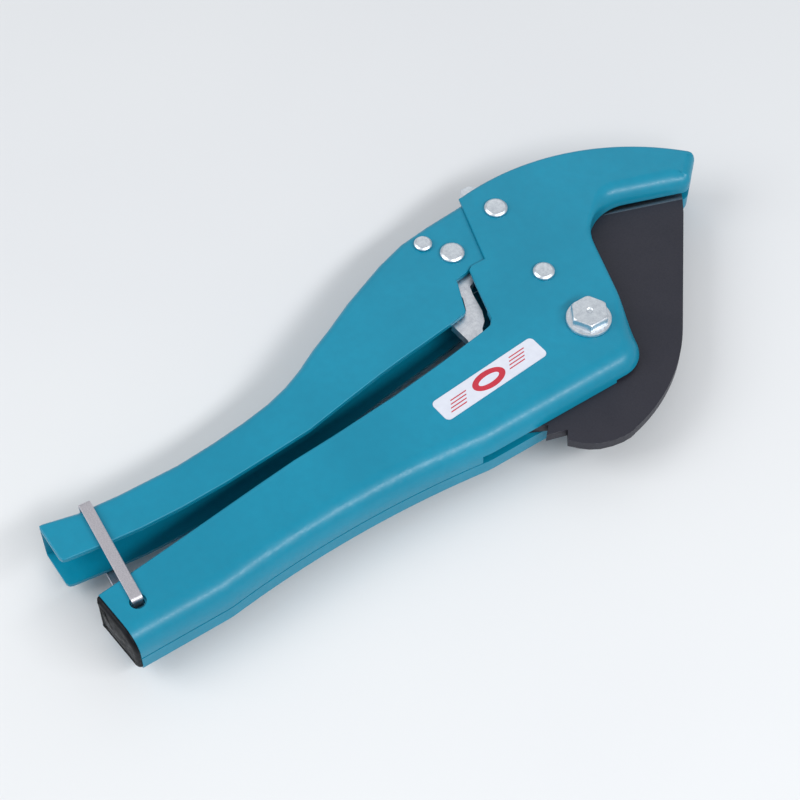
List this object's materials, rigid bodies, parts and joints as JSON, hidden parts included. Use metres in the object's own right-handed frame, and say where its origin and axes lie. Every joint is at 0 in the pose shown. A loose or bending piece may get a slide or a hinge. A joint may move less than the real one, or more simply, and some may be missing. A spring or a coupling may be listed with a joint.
{
  "type": "plastic pipe cutter",
  "caption": "Hand ratchet cutter for plastic pipe: two-shell body with a hook, pivoting dark blade, channel-section moving handle with pawl drive and a swing-over wire-strap handle latch",
  "frame": {"origin": "centre of the bounding box in plan, at the lowest point, which is the end face of the bolt's nut; the tool lies flat on its rear side", "axes": "+X along the fixed handle from its end plug towards the hook, +Y across from the fixed handle towards the moving handle, +Z out of the front face"},
  "size_m": [0.2294, 0.0976, 0.0248],
  "materials": {
    "body_front_shell": "semi-gloss enamel",
    "body_rear_shell": "semi-gloss enamel",
    "handle_end_plug": "fine grain",
    "label_plate": "printed film",
    "blade": "matt non-stick coat",
    "blade_ratchet_ring": "zinc plated",
    "blade_bush": "turned",
    "blade_bolt": "zinc plated",
    "blade_nut": "zinc plated",
    "blade_washer": "zinc plated",
    "hold_pawl": "zinc plated",
    "hold_pawl_spring": "spring wire",
    "hold_pawl_rivet": "zinc plated",
    "moving_handle": "semi-gloss enamel",
    "link_plate": "zinc plated",
    "handle_pivot_rivet": "zinc plated",
    "handle_pivot_sleeve": "turned",
    "handle_spring": "spring wire",
    "drive_pawl": "zinc plated",
    "drive_pawl_rivet": "zinc plated",
    "drive_pawl_spacer": "turned",
    "drive_pawl_spring": "spring wire",
    "link_rivet": "zinc plated",
    "link_rivet_spacer": "turned",
    "latch_bail": "zinc plated spring steel"
  },
  "bodies": {
    "body": {"body_front_shell": "body_front_shell", "body_rear_shell": "body_rear_shell", "handle_end_plug": "handle_end_plug", "label_plate": "label_plate", "blade_bolt": "blade_bolt", "blade_nut": "blade_nut", "blade_washer": "blade_washer", "blade_bush": "blade_bush", "hold_pawl_rivet": "hold_pawl_rivet", "hold_pawl_spring": "hold_pawl_spring", "handle_pivot_rivet": "handle_pivot_rivet"},
    "blade": {"blade": "blade", "blade_ratchet_ring": "blade_ratchet_ring"},
    "hold_pawl": {"hold_pawl": "hold_pawl"},
    "handle": {"moving_handle": "moving_handle", "link_plate": "link_plate", "handle_pivot_sleeve": "handle_pivot_sleeve", "handle_spring": "handle_spring", "drive_pawl_rivet": "drive_pawl_rivet", "drive_pawl_spacer": "drive_pawl_spacer", "drive_pawl_spring": "drive_pawl_spring", "link_rivet": "link_rivet", "link_rivet_spacer": "link_rivet_spacer"},
    "drive_pawl": {"drive_pawl": "drive_pawl"},
    "latch": {"latch_bail": "latch_bail"}
  },
  "joints": [
    {"name": "blade_pivot", "type": "hinge", "parent": "body", "child": "blade", "pos_m": [0.04866, -0.01424, 0.0128], "axis": [0, 0, -1], "range_deg": [0, 75]},
    {"name": "handle_pivot", "type": "hinge", "parent": "body", "child": "handle", "pos_m": [0.05046, 0.03426, 0.0128], "axis": [0, 0, -1], "range_deg": [0, 43]},
    {"name": "hold_pawl_pivot", "type": "hinge", "parent": "body", "child": "hold_pawl", "pos_m": [0.04816, 0.00686, 0.0128], "axis": [0, 0, -1], "range_deg": [-5, 15]},
    {"name": "drive_pawl_pivot", "type": "hinge", "parent": "handle", "child": "drive_pawl", "pos_m": [0.03046, 0.02806, 0.0128], "axis": [0, 0, -1], "range_deg": [-3, 12]},
    {"name": "latch_pivot", "type": "hinge", "parent": "body", "child": "latch", "pos_m": [-0.10384, -0.02304, 0.0128], "axis": [0, 0, 1], "range_deg": [0, 240]}
  ]
}
